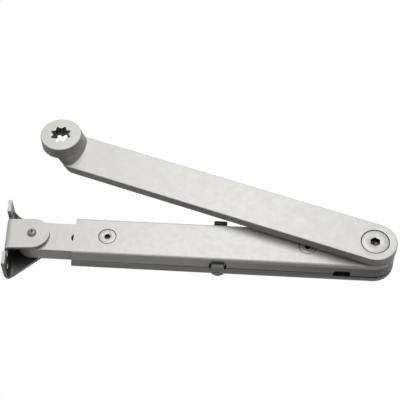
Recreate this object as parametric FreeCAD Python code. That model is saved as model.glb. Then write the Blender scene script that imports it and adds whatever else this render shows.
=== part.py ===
import FreeCAD, Part
import math
import os

# Door closer arm in millimetres: a shoe for the door frame, a sprung forearm of adjustable length, and a
# forged main arm that fits on the closer's spindle.
# The origin is the middle of the shoe's screw holes, on its back face. +X leaves the door frame, +Z is up.
# The shoe, the forearm and the main arm are each drawn in a frame of their own, with heights counted from
# the forearm's underside, and then set in place.

# Arm lengths, and the angles of the pose at rest
MAIN_LENGTH = 300.0         # elbow axis to hub axis
ARMS_ANGLE = 17.47          # between the two arms
SHOE_SWIVEL = -4.0          # forearm, from square out of the shoe

# Fits
RUNNING = 0.05              # radial, a shaft that turns or slides
SEATED = 0.02               # radial, a bush or pin that is held
END_PLAY = 0.1              # between faces that turn on each other
SLIDE_SIDE = 0.35           # each side of what slides in the housing
SLIDE_HEIGHT = 0.25         # above and below it

# Forearm housing
ROD_WIDTH = 29.7
ROD_THICK = 14.0
SIDE_WALL = 3.5
FLOOR = 4.8
ROOF = 4.2
HOUSING_START = 37.8        # its top edge, from the shoe pin
HOUSING_LEAN = 2.5          # the end's underside reaches further towards the shoe by this much
HOUSING_ROUND = 2.2
SEAM = 10.6                 # height of the joint line between the shells
SEAM_GROOVE = 0.6
SEAM_BEVEL = 0.9            # on the lower shell's edge
NOTCH_START = 34.7          # side openings by the cam, from the elbow axis
NOTCH_END = 19.6
NOTCH_TOP = 14.4
NOTCH_SLANT = 2.4
ELBOW_SEAM = 6.8            # joint line beyond the side openings
ELBOW_GAP = 1.1
BOSS_RADIUS = 7.0
BOSS_HEIGHT = 4.75

# Adjusting rod
ROD_INSERTED = 99.6         # length of rod inside the housing
ROD_SPARE = 17.9            # from its end to the selector's block
ROD_ROUND = 0.8
SLOT_START = 38.9           # centre of the slot's first round end, from the shoe pin
SLOT_WIDTH = 8.4
LENGTH_TRAVEL = 40.0        # the forearm can be drawn out by this much
CHANNEL_DEPTH = 5.0
CHANNEL_SIDE = 0.4

# Housing screws
SCREW_RADIUS = 4.0
SCREW_HEAD = 7.74
SCREW_SOCKET = 5.0
SCREW_LAND = 0.4
CLAMP_SCREW_X = 67.6        # from the shoe pin
GUIDE_SCREW_X = 57.7        # from the elbow axis
SEAT_RING = 0.35            # ring left free round a sunk head
SEAT_RING_DEPTH = 0.6
HEAD_SUNK = 0.1

# Shoe
SHEET = 3.1
UPPER_BEND = 5.0            # outer radius of the fold to the upper ear
LOWER_BEND = 7.0            # and to the lower ear
PIN_STANDOFF = 23.8         # pin axis from the back face
PLATE_WIDTH = 70.4
PLATE_HEIGHT = 25.3
PLATE_CORNER = 1.2
TAPER_START = 3.4           # the lower ear narrows from here
LOWER_EAR_RADIUS = 14.0
UPPER_EAR_RADIUS = 15.5
RELIEF_WIDTH = 6.4
RELIEF_DEPTH = 9.7
SHOE_HOLE_RADIUS = 3.4
SHOE_HOLE_INSET = 8.2       # from the plate's ends
SHOE_HOLE_RISE = 10.8       # above the lower ear's underside
LOWER_WASHER = 0.75
UPPER_WASHER = 0.85
WASHER_RADIUS = 11.0

# Shoe pivot
PIN_RADIUS = 5.0
ROD_BUSH_WALL = 2.0
PIVOT_SCREW_RADIUS = 2.0
PIVOT_SCREW_HEAD = 4.0
PIVOT_HEAD_RIM = 1.1
PIVOT_HEAD_CROWN = 1.8
PIVOT_SCREW_LENGTH = 12.0
CROSS_ARM = 2.3
CROSS_WIDTH = 0.9
CROSS_DEPTH = 1.7

# Main arm
BAR_WIDTH = 38.8
BAR_THICK = 8.6
BAR_GAP = 3.4               # bar above the housing
BAR_ROUND = 0.9
ELBOW_BOSS_RADIUS = 17.4
HUB_RADIUS = 18.6
HUB_HEIGHT = 11.5
HUB_RISE = 18.4             # hub's top above the bar's top
HUB_ROUND = 0.9
NECK_BULGE = 19.6           # foot of the neck from the hub axis, on the centre line
NECK_SIDE = 15.4            # and at the bar's sides
NECK_CORNER = 9             # the higher, the sharper the foot's corners
NECK_FLARE = 5.0            # the foot spreads by this much
NECK_RISE = 2.8             # over this height
NECK_INSET = 0.2            # the neck ends inside the hub by this much
NECK_STEPS = 48
NECK_UNDER_FOOT = 15.3      # where the neck's slope would meet the bar's underside, from the hub axis
NECK_UNDER_HEAD = 4.6       # where it meets the hub's underside
NECK_UNDER_BEND = 10.0
STAR_POINTS = 8
STAR_TIP = 9.5
STAR_VALLEY = 7.0
SPINDLE_WAY = 1.2           # room round the star below the hub

# Elbow
ELBOW_SCREW_RADIUS = 6.0
ELBOW_SCREW_HEAD = 12.3
ELBOW_SCREW_SOCKET = 8.0
ELBOW_SCREW_LAND = 0.5
ELBOW_SCREW_LENGTH = 24.0
ELBOW_SCREW_TURN = -12.5    # a corner of its socket, from the bar's axis
TANG_ACROSS = 16.0
TANG_HEIGHT = 4.2
JOURNAL_RADIUS = 11.5
FOOT_JOURNAL = 7.0
UPPER_BUSH_WALL = 2.0
LOWER_BUSH_WALL = 2.0
FLANGE_RADIUS = 16.6
FLANGE_THICK = 0.6
THRUST_RADIUS = 13.0
THRUST_THICK = 0.7

# Cam and follower: the cam's radius grows evenly as the arms open
CAM_REST = 11.3             # radius that faces the follower at rest
CAM_GROWTH = 1.2            # per radian
CAM_OPENING = 130.0         # arms open further by this much
CAM_CLOSING = 12.0          # and close by this much
CAM_MARGIN = 12.0
CAM_GAP = 0.2
NOSE_RADIUS = 3.0
NOSE_LENGTH = 7.0
FOLLOWER_SLOT_SPARE = 0.5
TAIL_BLOCK = 10.65          # solid part of the follower behind its slot
STEM_RADIUS = 3.0
STEM_TIP_RADIUS = 1.2
STEM_TIP_LENGTH = 3.0
STEM_END_WALL = 2.65        # between the stem's hole and the slot

# Selector and spring
SELECTOR_HALF = 5.9         # half its width, and the radius of its round underside
SELECTOR_CORNER = 1.1
SELECTOR_WEB = 0.85         # block left above it
SELECTOR_LIFT = 0.15        # its underside above the floor
SELECTOR_FRONT = 5.4        # stands out of the housing at the front
SELECTOR_REAR = 8.2
SELECTOR_TRAVEL = 3.0
SELECTOR_CHAMFER = 0.6
WAIST_RADIUS = 3.5
WAIST_START = 1.6
WAIST_WIDTH = 5.0
SIDE_HOLE_GAP = 1.7         # room beside the selector in the housing's walls
SIDE_HOLE_RISE = 0.7        # and above and below it
SIDE_HOLE_CORNER = 3.5
RING_HOLD = 0.7             # the rings stand out beyond the selector's sides
RING_THICK = 1.0
RING_GROOVE = 0.5
BLOCK_BACK = 11.4           # block, from the selector's axis towards the shoe
BLOCK_FRONT = 17.6          # and towards the elbow
DOWEL_RADIUS = 2.5
DOWEL_HEIGHT = 12.6
DOWEL_SPREAD = 8.5
SPRING_WASHER = 1.2
SPRING_WIRE = 1.25
SPRING_RADIUS = 5.3
SPRING_ROOM = 40.4          # between its washer and the follower
SPRING_TURNS = 8
SPRING_END_GAP = 0.1

# Heights that follow
ROD_LOW = FLOOR + SLIDE_HEIGHT
ROD_HIGH = ROD_LOW + ROD_THICK
ROOF_LOW = ROD_HIGH + SLIDE_HEIGHT
HOUSING_HEIGHT = ROOF_LOW + ROOF
AXIS_HEIGHT = (FLOOR + ROOF_LOW) / 2
CAM_LOW = FLOOR + THRUST_THICK + END_PLAY
BAR_LOW = HOUSING_HEIGHT + BAR_GAP
BAR_HIGH = BAR_LOW + BAR_THICK
BOSS_LOW = HOUSING_HEIGHT + FLANGE_THICK + END_PLAY
HUB_HIGH = BAR_HIGH + HUB_RISE
HUB_LOW = HUB_HIGH - HUB_HEIGHT
LOWER_EAR_HIGH = ROD_LOW - LOWER_WASHER - END_PLAY
LOWER_EAR_LOW = LOWER_EAR_HIGH - SHEET
UPPER_EAR_LOW = ROD_HIGH + UPPER_WASHER + END_PLAY
UPPER_EAR_HIGH = UPPER_EAR_LOW + SHEET
PLATE_HIGH = LOWER_EAR_LOW + PLATE_HEIGHT
MOUNT_HEIGHT = LOWER_EAR_LOW + SHOE_HOLE_RISE
SELECTOR_TOP = ROD_HIGH - SELECTOR_WEB - RUNNING - AXIS_HEIGHT
SELECTOR_DROP = AXIS_HEIGHT - FLOOR - SELECTOR_LIFT

# Widths and lengths that follow
CAVITY_HALF = ROD_WIDTH / 2 + SLIDE_SIDE
HOUSING_HALF = CAVITY_HALF + SIDE_WALL
BLOCK_HALF = CAVITY_HALF - SLIDE_SIDE
BAR_HALF = BAR_WIDTH / 2
SHOE_HOLE_SPACING = PLATE_WIDTH - 2 * SHOE_HOLE_INSET
RING_RADIUS = SELECTOR_HALF + RING_HOLD
CAM_TRAVEL_OPEN = CAM_GROWTH * math.radians(CAM_OPENING)
CAM_TRAVEL_CLOSE = CAM_GROWTH * math.radians(CAM_CLOSING)

# Stations along the forearm, from the shoe pin: rod, block, spring, follower, guide screw, elbow
HOUSING_FOOT = HOUSING_START - HOUSING_LEAN
ROD_END = HOUSING_START + ROD_INSERTED
SELECTOR_X = ROD_END + ROD_SPARE + BLOCK_BACK
SPRING_STOP = SELECTOR_X + BLOCK_FRONT + SPRING_WASHER
FOLLOWER_TAIL = SPRING_STOP + SPRING_ROOM
STEM_END = FOLLOWER_TAIL + TAIL_BLOCK - STEM_END_WALL
SLOT_FIRST = FOLLOWER_TAIL + TAIL_BLOCK + BOSS_RADIUS + CHANNEL_SIDE
GUIDE_X = SLOT_FIRST + FOLLOWER_SLOT_SPARE + CAM_TRAVEL_CLOSE
SLOT_LAST = GUIDE_X + CAM_TRAVEL_OPEN + FOLLOWER_SLOT_SPARE
REACH = GUIDE_X + GUIDE_SCREW_X
NOSE_TIP = REACH - CAM_REST - CAM_GAP
FOLLOWER_FRONT = NOSE_TIP - NOSE_LENGTH
OVER = 1.0                  # how far a cutter reaches past what it cuts
FULL_TURN = 360.0

V = FreeCAD.Vector
UP = V(0, 0, 1)


def cylinder(radius, low, high, x=0.0, y=0.0):
    return Part.makeCylinder(radius, high - low, V(x, y, low))


def cross_cylinder(radius, start, end, x, z):
    return Part.makeCylinder(radius, end - start, V(x, start, z), V(0, 1, 0))


def box(x0, x1, y0, y1, z0, z1):
    return Part.makeBox(x1 - x0, y1 - y0, z1 - z0, V(x0, y0, z0))


def tube(outer, inner, low, high, x=0.0, y=0.0):
    return cylinder(outer, low, high, x, y).cut(cylinder(inner, low, high, x, y))


def segment(a, b):
    return Part.LineSegment(V(*a), V(*b)).toShape()


def bow(a, middle, b):
    return Part.Arc(V(*a), V(*middle), V(*b)).toShape()


def polygon(points):
    corners = [V(*point) for point in points]
    return Part.Face(Part.makePolygon(corners + corners[:1]))


def prism(edges, low, high):
    face = Part.Face(Part.Wire(edges))
    face.translate(V(0, 0, low))
    return face.extrude(V(0, 0, high - low))


def tongue(square_end, round_centre, half, low, high):
    """A bar in plan with a square end and a round one."""
    side = math.copysign(half, round_centre - square_end)
    near_low = (square_end, -half, 0)
    near_high = (square_end, half, 0)
    far_low = (round_centre, -half, 0)
    far_high = (round_centre, half, 0)
    edges = [segment(near_low, far_low), bow(far_low, (round_centre + side, 0, 0), far_high),
             segment(far_high, near_high), segment(near_high, near_low)]
    return prism(edges, low, high)


def obround(first, last, half, low, high):
    """A slot in plan, between two round ends."""
    edges = [segment((first, -half, 0), (last, -half, 0)),
             bow((last, -half, 0), (last + half, 0, 0), (last, half, 0)),
             segment((last, half, 0), (first, half, 0)),
             bow((first, half, 0), (first - half, 0, 0), (first, -half, 0))]
    return prism(edges, low, high)


def flat_edges(shape, height, skip_x=None):
    """The edges of a prism at one height, apart from those along the end at skip_x."""
    found = []
    for edge in shape.Edges:
        span = edge.BoundBox
        level = abs(span.ZMin - height) < 1e-4 and abs(span.ZMax - height) < 1e-4
        skipped = skip_x is not None and abs(span.XMin - skip_x) < 1e-4 and abs(span.XMax - skip_x) < 1e-4
        if level and not skipped:
            found.append(edge)
    return found


def rounded(shape, radius, heights, skip_x=None):
    edges = [edge for height in heights for edge in flat_edges(shape, height, skip_x)]
    return shape.makeFillet(radius, edges)


def hexagon(across, turn, low, high, x=0.0):
    corner = across / 2 / math.cos(math.pi / 6)
    angles = [math.radians(turn + 60 * k) for k in range(6)]
    face = polygon([(x + corner * math.cos(a), corner * math.sin(a), low) for a in angles])
    return face.extrude(V(0, 0, high - low))


def sunk_head(head, shank, land, top, x=0.0, grow=0.0):
    """The head of a countersunk screw, or with grow its seat: a short land and a right-angled cone."""
    depth = head - shank
    rim = Part.makeCylinder(head + grow, land + grow, V(x, 0, top - land))
    cone = Part.makeCone(shank + grow, head + grow, depth, V(x, 0, top - land - depth))
    return rim.fuse(cone)


def sunk_screw(head, shank, land, socket, turn, top, low, x=0.0):
    face = top - HEAD_SUNK
    screw = sunk_head(head, shank, land, face, x).fuse(cylinder(shank, low, face - land, x))
    socket_depth = (head - shank) * 0.85
    return screw.cut(hexagon(socket, turn, face - socket_depth, face + OVER, x)).removeSplitter()


def sunk_seat(head, shank, land, top, low, x=0.0):
    """The hole for a countersunk screw, with a narrow ring left free round its head."""
    ring = cylinder(head + SEAT_RING, top - SEAT_RING_DEPTH, top + OVER, x)
    seat = sunk_head(head, shank, land, top - HEAD_SUNK, x, RUNNING)
    return ring.fuse(seat).fuse(cylinder(shank + RUNNING, low, top, x))


# Shoe, drawn with its back face at x = 0

def shoe_section(high, half):
    """The plate with its lower ear, folded from one sheet, and up to a given height."""
    reach = PIN_STANDOFF + LOWER_EAR_RADIUS
    inner = LOWER_BEND - SHEET
    slant = math.sqrt(0.5)
    outer_mid = LOWER_BEND * (1 - slant)
    inner_mid = SHEET + inner * (1 - slant)
    low = LOWER_EAR_LOW
    ear = LOWER_EAR_HIGH
    edges = [segment((0, 0, high), (0, 0, low + LOWER_BEND)),
             bow((0, 0, low + LOWER_BEND), (outer_mid, 0, low + outer_mid), (LOWER_BEND, 0, low)),
             segment((LOWER_BEND, 0, low), (reach, 0, low)),
             segment((reach, 0, low), (reach, 0, ear)),
             segment((reach, 0, ear), (LOWER_BEND, 0, ear)),
             bow((LOWER_BEND, 0, ear), (inner_mid, 0, low + inner_mid), (SHEET, 0, low + LOWER_BEND)),
             segment((SHEET, 0, low + LOWER_BEND), (SHEET, 0, high)),
             segment((SHEET, 0, high), (0, 0, high))]
    face = Part.Face(Part.Wire(edges))
    face.translate(V(0, -half, 0))
    return face.extrude(V(0, 2 * half, 0))


def lower_ear_plan():
    """Full width at the plate, then tapered to meet a round end about the pin."""
    half = PLATE_WIDTH / 2
    corner = (TAPER_START, half)
    run = PIN_STANDOFF - TAPER_START
    distance = math.hypot(run, half)
    lean = math.asin(LOWER_EAR_RADIUS / distance) - math.atan2(half, run)
    touch = (PIN_STANDOFF - LOWER_EAR_RADIUS * math.sin(lean), LOWER_EAR_RADIUS * math.cos(lean))
    tip = (PIN_STANDOFF + LOWER_EAR_RADIUS, 0, 0)
    edges = [segment((-OVER, -half, 0), (corner[0], -half, 0)),
             segment((corner[0], -half, 0), (touch[0], -touch[1], 0)),
             bow((touch[0], -touch[1], 0), tip, (touch[0], touch[1], 0)),
             segment((touch[0], touch[1], 0), (corner[0], half, 0)),
             segment((corner[0], half, 0), (-OVER, half, 0)),
             segment((-OVER, half, 0), (-OVER, -half, 0))]
    return prism(edges, LOWER_EAR_LOW - OVER, PLATE_HIGH + OVER)


def upper_ear():
    """The narrow upper ear, with its bend and the strip of plate under it."""
    inner = UPPER_BEND - SHEET
    slant = math.sqrt(0.5)
    outer_mid = UPPER_BEND * (1 - slant)
    inner_mid = SHEET + inner * (1 - slant)
    reach = PIN_STANDOFF + UPPER_EAR_RADIUS
    foot = PLATE_HIGH - RELIEF_DEPTH - OVER
    high = UPPER_EAR_HIGH
    bend = high - UPPER_BEND
    edges = [segment((0, 0, foot), (0, 0, bend)),
             bow((0, 0, bend), (outer_mid, 0, high - outer_mid), (UPPER_BEND, 0, high)),
             segment((UPPER_BEND, 0, high), (reach, 0, high)),
             segment((reach, 0, high), (reach, 0, UPPER_EAR_LOW)),
             segment((reach, 0, UPPER_EAR_LOW), (UPPER_BEND, 0, UPPER_EAR_LOW)),
             bow((UPPER_BEND, 0, UPPER_EAR_LOW), (inner_mid, 0, high - inner_mid), (SHEET, 0, bend)),
             segment((SHEET, 0, bend), (SHEET, 0, foot)),
             segment((SHEET, 0, foot), (0, 0, foot))]
    face = Part.Face(Part.Wire(edges))
    face.translate(V(0, -UPPER_EAR_RADIUS, 0))
    strip = face.extrude(V(0, 2 * UPPER_EAR_RADIUS, 0))
    plan = tongue(-OVER, PIN_STANDOFF, UPPER_EAR_RADIUS, foot - OVER, high + OVER)
    return strip.common(plan)


def shoe_bracket():
    half = PLATE_WIDTH / 2
    plate = shoe_section(PLATE_HIGH, half).common(lower_ear_plan())
    corners = [edge for edge in plate.Edges
               if abs(edge.BoundBox.ZMin - PLATE_HIGH) < 1e-4 and edge.BoundBox.YLength < 1e-4
               and abs(edge.BoundBox.XLength - SHEET) < 1e-4]
    plate = plate.makeFillet(PLATE_CORNER, corners)
    top = box(-OVER, SHEET + OVER, -UPPER_EAR_RADIUS - RELIEF_WIDTH, UPPER_EAR_RADIUS + RELIEF_WIDTH,
              PLATE_HIGH - RELIEF_DEPTH, PLATE_HIGH + OVER)
    shoe = plate.cut(top).fuse(upper_ear()).removeSplitter()
    shoe = shoe.cut(cylinder(PIN_RADIUS + SEATED, LOWER_EAR_LOW - OVER, ROD_LOW, PIN_STANDOFF))
    shoe = shoe.cut(cylinder(PIVOT_SCREW_RADIUS + RUNNING, ROD_HIGH, UPPER_EAR_HIGH + OVER, PIN_STANDOFF))
    for side in (-1, 1):
        y = side * SHOE_HOLE_SPACING / 2
        shoe = shoe.cut(Part.makeCylinder(SHOE_HOLE_RADIUS, SHEET + 2 * OVER, V(-OVER, y, MOUNT_HEIGHT),
                                          V(1, 0, 0)))
    return shoe


def shoe_pivot_pin():
    top = UPPER_EAR_LOW - SEATED
    pin = cylinder(PIN_RADIUS, LOWER_EAR_LOW, top, PIN_STANDOFF)
    return pin.cut(cylinder(PIVOT_SCREW_RADIUS + RUNNING, UPPER_EAR_HIGH - PIVOT_SCREW_LENGTH - OVER, top,
                            PIN_STANDOFF))


def shoe_pivot_screw():
    """Pan head screw with a cross recess."""
    low = UPPER_EAR_HIGH
    rim = low + PIVOT_HEAD_RIM
    top = rim + PIVOT_HEAD_CROWN
    shoulder = (PIVOT_SCREW_HEAD * 0.83, 0, rim + PIVOT_HEAD_CROWN * 0.62)
    edges = [segment((0, 0, low), (PIVOT_SCREW_HEAD, 0, low)),
             segment((PIVOT_SCREW_HEAD, 0, low), (PIVOT_SCREW_HEAD, 0, rim)),
             bow((PIVOT_SCREW_HEAD, 0, rim), shoulder, (PIVOT_SCREW_HEAD / 2, 0, top)),
             segment((PIVOT_SCREW_HEAD / 2, 0, top), (0, 0, top)),
             segment((0, 0, top), (0, 0, low))]
    head = Part.Face(Part.Wire(edges)).revolve(V(0, 0, 0), UP, FULL_TURN)
    bit = Part.makeCone(CROSS_ARM * 0.35, CROSS_ARM, CROSS_DEPTH, V(0, 0, top - CROSS_DEPTH))
    half = CROSS_WIDTH / 2
    for blade in (box(-CROSS_ARM, CROSS_ARM, -half, half, low, top + OVER),
                  box(-half, half, -CROSS_ARM, CROSS_ARM, low, top + OVER)):
        head = head.cut(blade.common(bit))
    screw = head.fuse(cylinder(PIVOT_SCREW_RADIUS, UPPER_EAR_HIGH - PIVOT_SCREW_LENGTH, low))
    screw.translate(V(PIN_STANDOFF, 0, 0))
    return screw


def pivot_washer(low, thick):
    return tube(WASHER_RADIUS, PIN_RADIUS + RUNNING, low, low + thick, PIN_STANDOFF)


# Forearm, drawn with the shoe pin at x = 0 and the elbow at x = REACH

def adjusting_rod():
    """Flat bar with an eye, a slot for the clamp screw, and a channel below it for the floor boss."""
    half = ROD_WIDTH / 2
    rod = rounded(tongue(ROD_END, 0, half, ROD_LOW, ROD_HIGH), ROD_ROUND, (ROD_LOW, ROD_HIGH), ROD_END)
    rod = rod.cut(cylinder(PIN_RADIUS + RUNNING + ROD_BUSH_WALL + SEATED, ROD_LOW - OVER, ROD_HIGH + OVER))
    last = CLAMP_SCREW_X + LENGTH_TRAVEL
    rod = rod.cut(obround(SLOT_START, last, SLOT_WIDTH / 2, ROD_LOW - OVER, ROD_HIGH + OVER))
    channel = obround(SLOT_START, last, BOSS_RADIUS + CHANNEL_SIDE, ROD_LOW - OVER, ROD_LOW + CHANNEL_DEPTH)
    return rod.cut(channel)


def rod_bush():
    bore = PIN_RADIUS + RUNNING
    return tube(bore + ROD_BUSH_WALL, bore, ROD_LOW, ROD_HIGH)


def housing():
    """Both shells as one closed form: rounded outside, open at the shoe end, which leans."""
    outer = tongue(HOUSING_FOOT, REACH, HOUSING_HALF, 0, HOUSING_HEIGHT)
    outer = rounded(outer, HOUSING_ROUND, (0, HOUSING_HEIGHT), HOUSING_FOOT)
    side = -HOUSING_HALF - OVER
    corners = [(HOUSING_FOOT, side, 0), (HOUSING_START, side, HOUSING_HEIGHT),
               (HOUSING_FOOT - OVER, side, HOUSING_HEIGHT), (HOUSING_FOOT - OVER, side, 0)]
    outer = outer.cut(polygon(corners).extrude(V(0, -2 * side, 0)))
    return outer.cut(tongue(HOUSING_FOOT - OVER, REACH, CAVITY_HALF, FLOOR, ROOF_LOW))


def side_cutters():
    """What is taken from both side walls: the seam's groove and the holes of the selector."""
    start = HOUSING_FOOT - OVER
    notch_x = REACH - NOTCH_START
    high = SEAM + SEAM_GROOVE / 2
    low = SEAM - SEAM_GROOVE / 2
    shapes = []
    for side in (-1, 1):
        inner = side * (HOUSING_HALF - SEAM_GROOVE)
        skin = side * HOUSING_HALF
        outer = side * (HOUSING_HALF + OVER)
        groove = polygon([(start, inner, low), (start, inner, high), (start, outer, high),
                          (start, outer, low - SEAM_BEVEL), (start, skin, low - SEAM_BEVEL)])
        shapes.append(groove.extrude(V(notch_x - start, 0, 0)))
        wall = side * CAVITY_HALF
        shapes.append(selector_bar(SIDE_HOLE_GAP, SIDE_HOLE_RISE, SIDE_HOLE_CORNER, min(wall, outer),
                                   max(wall, outer)))
    return shapes


def forearm_upper_shell():
    half = HOUSING_HALF + OVER
    notch_x = REACH - NOTCH_START
    notch_end = REACH - NOTCH_END
    high = HOUSING_HEIGHT + OVER
    keep = box(HOUSING_FOOT - OVER, notch_x, -half, half, SEAM, high)
    keep = keep.fuse(box(notch_x, REACH + half, -half, half, ELBOW_SEAM + ELBOW_GAP, high))
    shell = housing().common(keep)
    low = ELBOW_SEAM - OVER
    shoulder = NOTCH_TOP - NOTCH_SLANT
    notch = polygon([(notch_x, -half, low), (notch_end, -half, low), (notch_end, -half, shoulder),
                     (notch_end - NOTCH_SLANT / 2, -half, NOTCH_TOP),
                     (notch_x + NOTCH_SLANT, -half, NOTCH_TOP), (notch_x, -half, shoulder)])
    shell = shell.cut(notch.extrude(V(0, 2 * half, 0)))
    for cutter in side_cutters():
        shell = shell.cut(cutter)
    for x in (CLAMP_SCREW_X, GUIDE_X):
        seat = sunk_seat(SCREW_HEAD, SCREW_RADIUS, SCREW_LAND, HOUSING_HEIGHT, ROOF_LOW - OVER, x)
        shell = shell.cut(seat)
    hole = JOURNAL_RADIUS + RUNNING + UPPER_BUSH_WALL + SEATED
    return shell.cut(cylinder(hole, ROOF_LOW - OVER, high, REACH))


def forearm_lower_shell():
    """The floor with low side walls, two threaded bosses and the holes of the dowels and the lower bush."""
    half = HOUSING_HALF + OVER
    notch_x = REACH - NOTCH_START
    keep = box(HOUSING_FOOT - OVER, notch_x, -half, half, -OVER, SEAM)
    keep = keep.fuse(box(notch_x, REACH + half, -half, half, -OVER, ELBOW_SEAM))
    shell = housing().common(keep)
    for cutter in side_cutters():
        shell = shell.cut(cutter)
    for x in (CLAMP_SCREW_X, GUIDE_X):
        shell = shell.fuse(cylinder(BOSS_RADIUS, FLOOR - OVER, ROD_LOW + BOSS_HEIGHT, x))
        shell = shell.cut(cylinder(SCREW_RADIUS + SEATED, -OVER, ROD_LOW + BOSS_HEIGHT + OVER, x))
    for x, y in dowel_places():
        shell = shell.cut(cylinder(DOWEL_RADIUS + SEATED, -OVER, FLOOR + OVER, x, y))
    hole = FOOT_JOURNAL + RUNNING + LOWER_BUSH_WALL + SEATED
    return shell.cut(cylinder(hole, -OVER, FLOOR + OVER, REACH)).removeSplitter()


def housing_screw(x):
    return sunk_screw(SCREW_HEAD, SCREW_RADIUS, SCREW_LAND, SCREW_SOCKET, 15.0, HOUSING_HEIGHT,
                      HOUSING_ROUND / 2, x)


def elbow_upper_bush():
    bore = JOURNAL_RADIUS + RUNNING
    sleeve = tube(bore + UPPER_BUSH_WALL, bore, ROOF_LOW, HOUSING_HEIGHT, REACH)
    flange = tube(FLANGE_RADIUS, bore, HOUSING_HEIGHT, HOUSING_HEIGHT + FLANGE_THICK, REACH)
    return sleeve.fuse(flange).removeSplitter()


def elbow_lower_bush():
    bore = FOOT_JOURNAL + RUNNING
    return tube(bore + LOWER_BUSH_WALL, bore, 0, FLOOR, REACH)


def elbow_thrust_washer():
    return tube(THRUST_RADIUS, FOOT_JOURNAL + RUNNING, FLOOR, FLOOR + THRUST_THICK, REACH)


def dowel_places():
    x = SELECTOR_X + BLOCK_FRONT - 2 * DOWEL_RADIUS
    return [(x, -DOWEL_SPREAD), (x, DOWEL_SPREAD)]


def block_dowels():
    dowels = [cylinder(DOWEL_RADIUS, 0, DOWEL_HEIGHT, x, y) for x, y in dowel_places()]
    return Part.makeCompound(dowels)


def selector_guide():
    """The block that carries the selector, lets the stem through and backs the spring."""
    back = SELECTOR_X - BLOCK_BACK
    front = SELECTOR_X + BLOCK_FRONT
    block = box(back, front, -BLOCK_HALF, BLOCK_HALF, FLOOR, ROD_HIGH)
    block = block.cut(selector_bar(RUNNING, RUNNING, SELECTOR_CORNER, -BLOCK_HALF - OVER, BLOCK_HALF + OVER,
                                   OVER))
    block = block.cut(Part.makeCylinder(STEM_RADIUS + RUNNING, front + OVER - SELECTOR_X,
                                        V(SELECTOR_X, 0, AXIS_HEIGHT), V(1, 0, 0)))
    for x, y in dowel_places():
        block = block.cut(cylinder(DOWEL_RADIUS + SEATED, FLOOR - OVER, DOWEL_HEIGHT + OVER, x, y))
    return block


def along(radius, start, end):
    """A round bar along the forearm, at the height of the mechanism."""
    return Part.makeCylinder(radius, end - start, V(start, 0, AXIS_HEIGHT), V(1, 0, 0))


def spring_washer():
    start = SELECTOR_X + BLOCK_FRONT
    return along(SPRING_RADIUS + SPRING_WIRE, start, start + SPRING_WASHER).cut(
        along(STEM_RADIUS + RUNNING, start, start + SPRING_WASHER))


def stop_spring():
    """Helical spring between the washer and the follower, its axis along the forearm."""
    start = SPRING_STOP + SPRING_WIRE + SPRING_END_GAP
    length = FOLLOWER_TAIL - SPRING_WIRE - SPRING_END_GAP - start
    helix = Part.makeHelix(length / SPRING_TURNS, length, SPRING_RADIUS)
    wire = Part.Wire(Part.makeCircle(SPRING_WIRE, V(SPRING_RADIUS, 0, 0), V(0, 1, 0)))
    spring = Part.Wire(helix.Edges).makePipeShell([wire], True, True)
    spring.rotate(V(0, 0, 0), V(0, 1, 0), 90)
    spring.translate(V(start, 0, AXIS_HEIGHT))
    return spring


# Follower and selector

def cam_follower():
    """A slotted block with a round nose, which clears the guide screw and the floor boss under it."""
    high = ROD_HIGH - END_PLAY
    block = box(FOLLOWER_TAIL, FOLLOWER_FRONT, -BLOCK_HALF, BLOCK_HALF, ROD_LOW, high)
    nose = tongue(FOLLOWER_FRONT - OVER, NOSE_TIP - NOSE_RADIUS, NOSE_RADIUS, CAM_LOW, high)
    follower = block.fuse(nose).removeSplitter()
    slot = obround(SLOT_FIRST, SLOT_LAST, SLOT_WIDTH / 2, ROD_LOW - OVER, ROD_HIGH + OVER)
    channel = obround(SLOT_FIRST, SLOT_LAST, BOSS_RADIUS + CHANNEL_SIDE, ROD_LOW - OVER,
                      ROD_LOW + CHANNEL_DEPTH)
    hole = along(STEM_RADIUS + SEATED, FOLLOWER_TAIL - OVER, STEM_END)
    return follower.cut(slot).cut(channel).cut(hole)


def follower_stem():
    """Rod through the spring. Its thin tip enters the selector's waist when that is pushed across."""
    tip = SELECTOR_X + SELECTOR_HALF + CAM_TRAVEL_OPEN + 2 * CAM_GAP
    shoulder = tip + STEM_TIP_LENGTH
    return along(STEM_TIP_RADIUS, tip, shoulder).fuse(along(STEM_RADIUS, shoulder, STEM_END - SEATED))


def ring_places():
    """Where the retaining rings start across the forearm: one against the block, one a travel away."""
    front = -BLOCK_HALF - RUNNING - RING_THICK
    rear = BLOCK_HALF + RUNNING + SELECTOR_TRAVEL
    return [front, rear]


def selector_bar(beside, above, corner, start, end, deeper=0.0):
    """The selector's section, grown by what is given: a flat top, straight sides and a round underside."""
    half = SELECTOR_HALF + beside
    top = AXIS_HEIGHT + SELECTOR_TOP + above
    bottom = AXIS_HEIGHT - SELECTOR_DROP - above - deeper
    left = SELECTOR_X - half
    right = SELECTOR_X + half
    level = bottom + half
    ease = corner * (1 - math.sqrt(0.5))
    edges = [bow((left, start, level), (SELECTOR_X, start, bottom), (right, start, level)),
             segment((right, start, level), (right, start, top - corner)),
             bow((right, start, top - corner), (right - ease, start, top - ease),
                 (right - corner, start, top)),
             segment((right - corner, start, top), (left + corner, start, top)),
             bow((left + corner, start, top), (left + ease, start, top - ease), (left, start, top - corner)),
             segment((left, start, top - corner), (left, start, level))]
    return Part.Face(Part.Wire(edges)).extrude(V(0, end - start, 0))


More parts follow.
